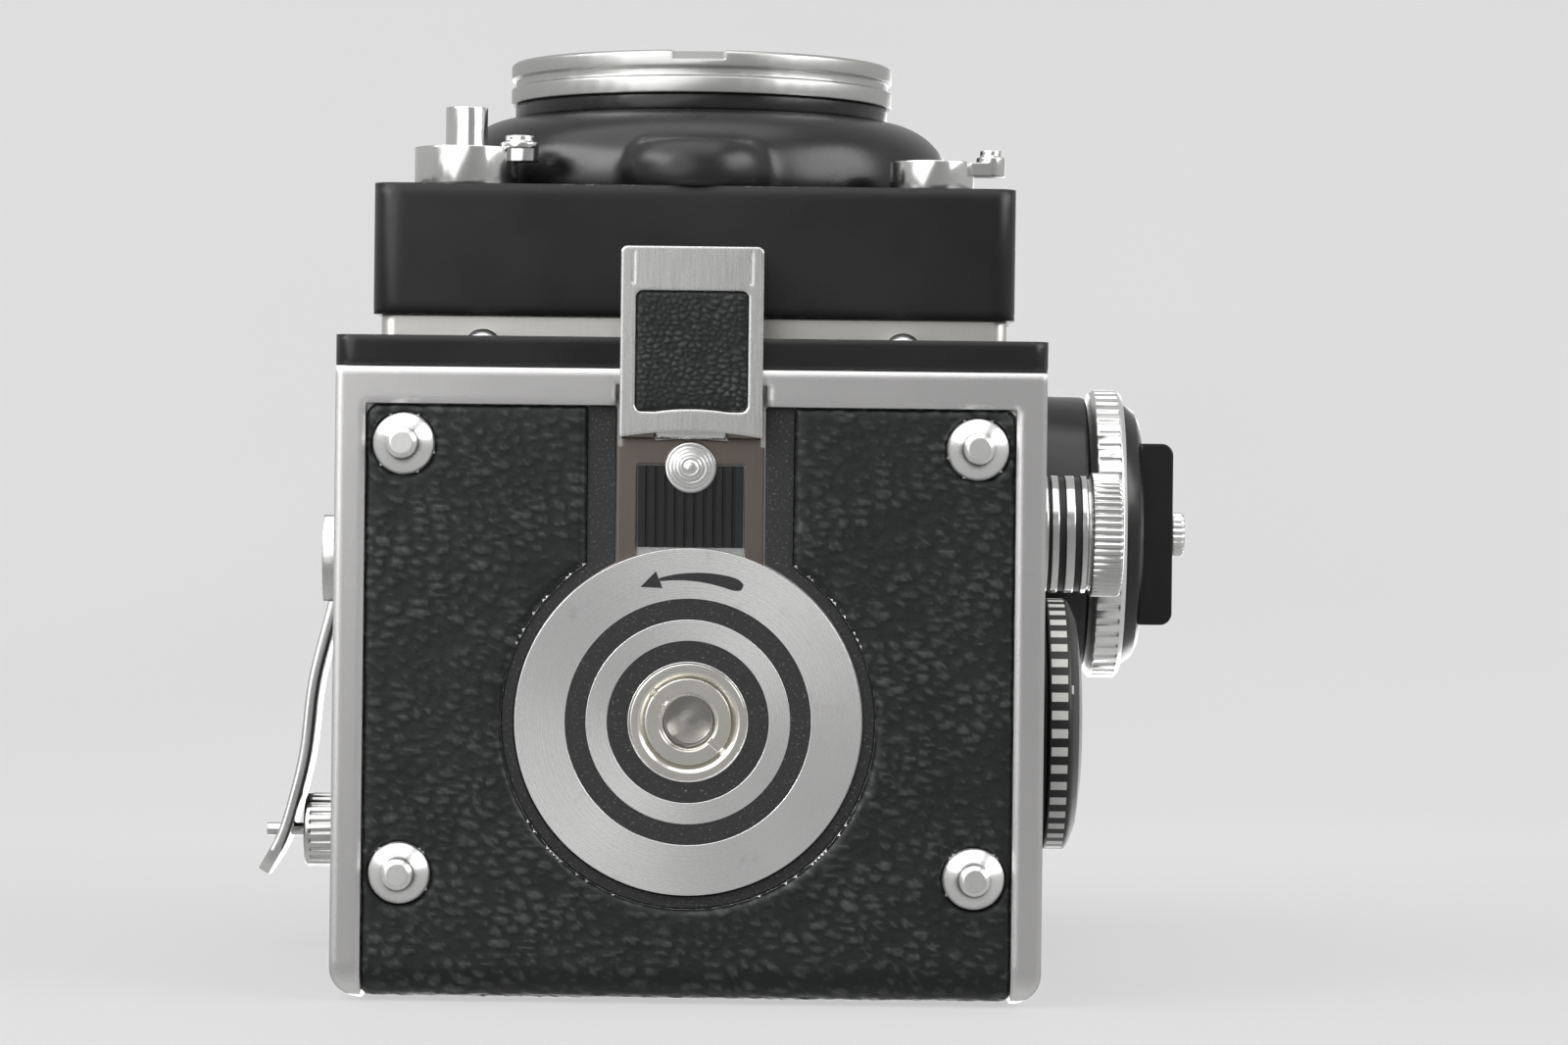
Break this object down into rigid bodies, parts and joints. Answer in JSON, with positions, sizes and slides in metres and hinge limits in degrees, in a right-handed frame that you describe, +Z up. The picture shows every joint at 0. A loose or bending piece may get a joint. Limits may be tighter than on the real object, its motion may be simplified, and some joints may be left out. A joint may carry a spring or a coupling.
{
  "type": "twin lens reflex camera",
  "caption": "Box camera with a viewing lens above a taking lens on a focusing front, a folding waist-level hood, a winding crank and a swing-down back locked by a base disc",
  "frame": {"origin": "centre of the tripod socket's mouth on the base", "axes": "+Z up through the body, -Y out through the lenses, +X towards the focusing knob"},
  "size_m": [0.1152, 0.1077, 0.1433],
  "materials": {
    "black_casting": "satin black enamel on an aluminium casting",
    "black_paint": "semi-gloss black enamel",
    "black_plastic": "matt moulding",
    "leather": "black grained leather",
    "satin_aluminium": "satin anodised",
    "turned_aluminium": "fine turned face",
    "satin_metal": "satin chrome",
    "brushed_slide": "brushed, slightly worn",
    "steel_blades": "blued thin steel",
    "chrome": "polished nickel chrome",
    "brass_plug": "worn brass",
    "gear_brass": "machined brass",
    "mirror_glass": "front silvered glass",
    "screen_glass": "ground glass",
    "lens_glass": "coated optical glass"
  },
  "bodies": {
    "body": {"body_shell": "black_casting", "front_plate": "black_casting", "reflex_mirror": "mirror_glass", "focusing_screen": "screen_glass", "film_gate": "black_casting", "side_leathers": "leather", "front_screws": "chrome", "name_plate": "satin_metal", "strap_lugs": "chrome", "focus_drum": "black_paint", "accessory_shoe": "black_paint", "crank_escutcheon": "black_paint", "hood_base": "black_paint"},
    "back_door": {"back_cover": "satin_aluminium", "back_leather": "leather", "latch_channel": "black_paint", "feet": "chrome", "tripod_socket": "chrome", "socket_adapter": "brass_plug"},
    "pressure_plate": {"pressure_plate": "black_paint"},
    "lock_disc": {"lock_disc": "turned_aluminium"},
    "latch_slide": {"latch_slide": "brushed_slide", "latch_grip": "black_plastic"},
    "latch_arm": {"latch_arm": "satin_metal", "latch_arm_leather": "leather"},
    "front_standard": {"standard_frame": "satin_metal", "lens_board": "black_paint", "lens_surround": "black_paint", "taking_barrel": "black_paint", "taking_bayonet": "chrome", "taking_glass": "lens_glass", "viewing_barrel": "black_paint", "viewing_bayonet": "chrome", "viewing_glass": "lens_glass", "shutter_housing": "black_paint", "shutter_blades": "steel_blades"},
    "release_button": {"release_button": "chrome"},
    "release_guard": {"release_guard": "chrome"},
    "sync_lever": {"sync_lever": "chrome"},
    "aperture_wheel": {"aperture_wheel": "satin_metal"},
    "shutter_wheel": {"shutter_wheel": "satin_metal"},
    "focus_knob": {"focus_knob": "satin_aluminium"},
    "film_dial": {"film_dial": "black_paint"},
    "knob_sleeve": {"knob_sleeve": "satin_metal"},
    "spool_knob": {"spool_knob": "chrome", "spool_pin": "satin_metal"},
    "feed_spool": {"feed_spool": "black_plastic"},
    "takeup": {"takeup_spool": "black_plastic", "spool_gear": "gear_brass"},
    "crank_hub": {"crank_hub": "satin_metal"},
    "idler_gear": {"idler_gear": "gear_brass"},
    "crank_arm": {"crank_arm": "satin_metal"},
    "crank_handle": {"crank_handle": "chrome"},
    "film_roller": {"film_roller": "chrome"},
    "hood_lid": {"hood_lid": "black_paint"},
    "hood_flap_left": {"hood_flap_left": "black_paint"},
    "hood_flap_right": {"hood_flap_right": "black_paint"},
    "hood_flap_rear": {"hood_flap_rear": "black_paint"},
    "magnifier": {"magnifier_frame": "black_paint", "magnifier_lens": "lens_glass"}
  },
  "joints": [
    {"name": "back_hinge", "type": "hinge", "parent": "body", "child": "back_door", "pos_m": [0, 0.0306, 0.1182], "axis": [1, 0, 0], "range_deg": [0, 110]},
    {"name": "pressure_plate_travel", "type": "slide", "parent": "back_door", "child": "pressure_plate", "axis": [0, 1, 0], "range_m": [0, 0.0004]},
    {"name": "lock_disc_turn", "type": "hinge", "parent": "back_door", "child": "lock_disc", "pos_m": [0, 0, 0.0005], "axis": [0, 0, -1], "range_deg": [0, 75]},
    {"name": "latch_slide_travel", "type": "slide", "parent": "back_door", "child": "latch_slide", "axis": [0, -1, 0], "range_m": [0, 0.003]},
    {"name": "latch_arm_hinge", "type": "hinge", "parent": "latch_slide", "child": "latch_arm", "pos_m": [0, -0.0318, -0.0003], "axis": [1, 0, 0], "range_deg": [0, 100]},
    {"name": "focus_travel", "type": "slide", "parent": "body", "child": "front_standard", "axis": [0, -1, 0], "range_m": [0, 0.0055]},
    {"name": "release_press", "type": "slide", "parent": "front_standard", "child": "release_button", "axis": [0, 1, 0], "range_m": [0, 0.002]},
    {"name": "release_guard_turn", "type": "hinge", "parent": "front_standard", "child": "release_guard", "pos_m": [-0.0259, -0.061, 0.0145], "axis": [0, 1, 0], "range_deg": [0, 70]},
    {"name": "sync_lever_turn", "type": "hinge", "parent": "front_standard", "child": "sync_lever", "pos_m": [0.0265, -0.061, 0.0145], "axis": [0, -1, 0], "range_deg": [0, 50]},
    {"name": "aperture_wheel_turn", "type": "hinge", "parent": "front_standard", "child": "aperture_wheel", "pos_m": [-0.0285, -0.061, 0.066], "axis": [0, -1, 0], "range_deg": [0, 270]},
    {"name": "shutter_wheel_turn", "type": "hinge", "parent": "front_standard", "child": "shutter_wheel", "pos_m": [0.0285, -0.061, 0.066], "axis": [0, -1, 0], "range_deg": [0, 270]},
    {"name": "focus_knob_turn", "type": "hinge", "parent": "body", "child": "focus_knob", "pos_m": [0.045, -0.021, 0.092], "axis": [1, 0, 0], "range_deg": [0, 290]},
    {"name": "film_dial_turn", "type": "hinge", "parent": "body", "child": "film_dial", "pos_m": [0.042, 0.0024, 0.064], "axis": [1, 0, 0], "continuous": true},
    {"name": "spool_knob_pull", "type": "slide", "parent": "body", "child": "knob_sleeve", "axis": [1, 0, 0], "range_m": [0, 0.005]},
    {"name": "spool_knob_spin", "type": "hinge", "parent": "knob_sleeve", "child": "spool_knob", "pos_m": [0.038, -0.021, 0.017], "axis": [1, 0, 0], "continuous": true},
    {"name": "feed_spool_spin", "type": "hinge", "parent": "body", "child": "feed_spool", "pos_m": [0, -0.021, 0.017], "axis": [1, 0, 0], "continuous": true},
    {"name": "takeup_spin", "type": "hinge", "parent": "body", "child": "takeup", "pos_m": [0, 0.015, 0.077], "axis": [1, 0, 0], "continuous": true},
    {"name": "crank_turn", "type": "hinge", "parent": "body", "child": "crank_hub", "pos_m": [-0.0435, -0.017, 0.066], "axis": [1, 0, 0], "continuous": true},
    {"name": "idler_spin", "type": "hinge", "parent": "body", "child": "idler_gear", "pos_m": [-0.0354, 0.00178, 0.06892], "axis": [1, 0, 0], "continuous": true},
    {"name": "crank_arm_fold", "type": "hinge", "parent": "crank_hub", "child": "crank_arm", "pos_m": [-0.0435, -0.017, 0.066], "axis": [0, 0, 1], "range_deg": [0, 165]},
    {"name": "crank_handle_spin", "type": "hinge", "parent": "crank_arm", "child": "crank_handle", "pos_m": [-0.045, 0.0165, 0.066], "axis": [1, 0, 0], "continuous": true},
    {"name": "film_roller_spin", "type": "hinge", "parent": "body", "child": "film_roller", "pos_m": [0, 0.0225, 0.0082], "axis": [1, 0, 0], "continuous": true},
    {"name": "hood_lid_hinge", "type": "hinge", "parent": "body", "child": "hood_lid", "pos_m": [0, -0.0336, 0.1384], "axis": [1, 0, 0], "range_deg": [0, 90]},
    {"name": "flap_left_hinge", "type": "hinge", "parent": "body", "child": "hood_flap_left", "pos_m": [-0.0326, 0, 0.1315], "axis": [0, -1, 0], "range_deg": [0, 90]},
    {"name": "flap_right_hinge", "type": "hinge", "parent": "body", "child": "hood_flap_right", "pos_m": [0.0326, 0, 0.1315], "axis": [0, 1, 0], "range_deg": [0, 90]},
    {"name": "flap_rear_hinge", "type": "hinge", "parent": "body", "child": "hood_flap_rear", "pos_m": [0, 0.027, 0.128], "axis": [-1, 0, 0], "range_deg": [0, 90]},
    {"name": "magnifier_hinge", "type": "hinge", "parent": "hood_lid", "child": "magnifier", "pos_m": [0, -0.0126, 0.1366], "axis": [-1, 0, 0], "range_deg": [0, 90]}
  ],
  "couplings": [
    {"joint": "lock_disc_turn", "follows": "latch_slide_travel", "rad_per_m": 436.33},
    {"joint": "focus_knob_turn", "follows": "focus_travel", "rad_per_m": 920.26},
    {"joint": "feed_spool_spin", "follows": "spool_knob_spin", "ratio": 1},
    {"joint": "idler_spin", "follows": "crank_turn", "ratio": -1.7143},
    {"joint": "takeup_spin", "follows": "crank_turn", "ratio": 1.4118},
    {"joint": "flap_left_hinge", "follows": "hood_lid_hinge", "ratio": 1},
    {"joint": "flap_right_hinge", "follows": "hood_lid_hinge", "ratio": 1},
    {"joint": "flap_rear_hinge", "follows": "hood_lid_hinge", "ratio": 1},
    {"joint": "magnifier_hinge", "follows": "hood_lid_hinge", "ratio": 1}
  ]
}
